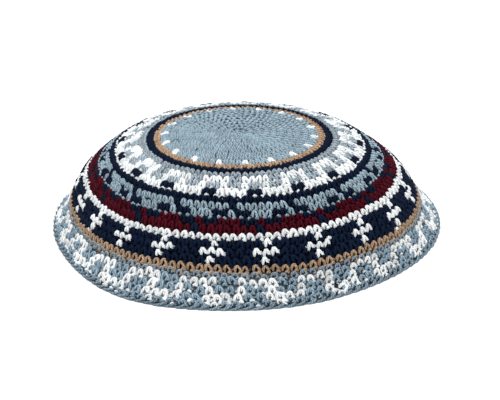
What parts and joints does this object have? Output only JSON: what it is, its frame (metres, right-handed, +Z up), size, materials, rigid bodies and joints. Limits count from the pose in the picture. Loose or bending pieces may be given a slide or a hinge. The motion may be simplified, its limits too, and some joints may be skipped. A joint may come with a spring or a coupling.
{
  "type": "crocheted kippah skullcap",
  "caption": "Shallow round crocheted skullcap with a flat crown, patterned bands worked in rounds and a softly flared rim, open below so that it sits on the back of the head.",
  "frame": {"origin": "middle of the rim's footprint, on the surface that the cap rests on", "axes": "+Z up through the crown, the near side of the cap towards -Y, +X to its right"},
  "size_m": [0.1692, 0.1698, 0.0433],
  "materials": {
    "slate_yarn": "matte cotton yarn, slate blue",
    "tan_yarn": "matte cotton yarn, tan",
    "navy_yarn": "matte cotton yarn, navy",
    "white_yarn": "matte cotton yarn, white",
    "steel_yarn": "matte cotton yarn, darker slate blue",
    "maroon_yarn": "matte cotton yarn, maroon"
  },
  "bodies": {
    "root": {"crown_disc": "slate_yarn", "inner_tan_round": "tan_yarn", "inner_navy_round": "navy_yarn", "upper_key_band": "white_yarn", "stepped_band": "slate_yarn", "maroon_round": "maroon_yarn", "white_round": "white_yarn", "sprig_band": "navy_yarn", "outer_tan_round": "tan_yarn", "lower_key_band": "white_yarn", "rim_edging": "steel_yarn"}
  },
  "joints": []
}
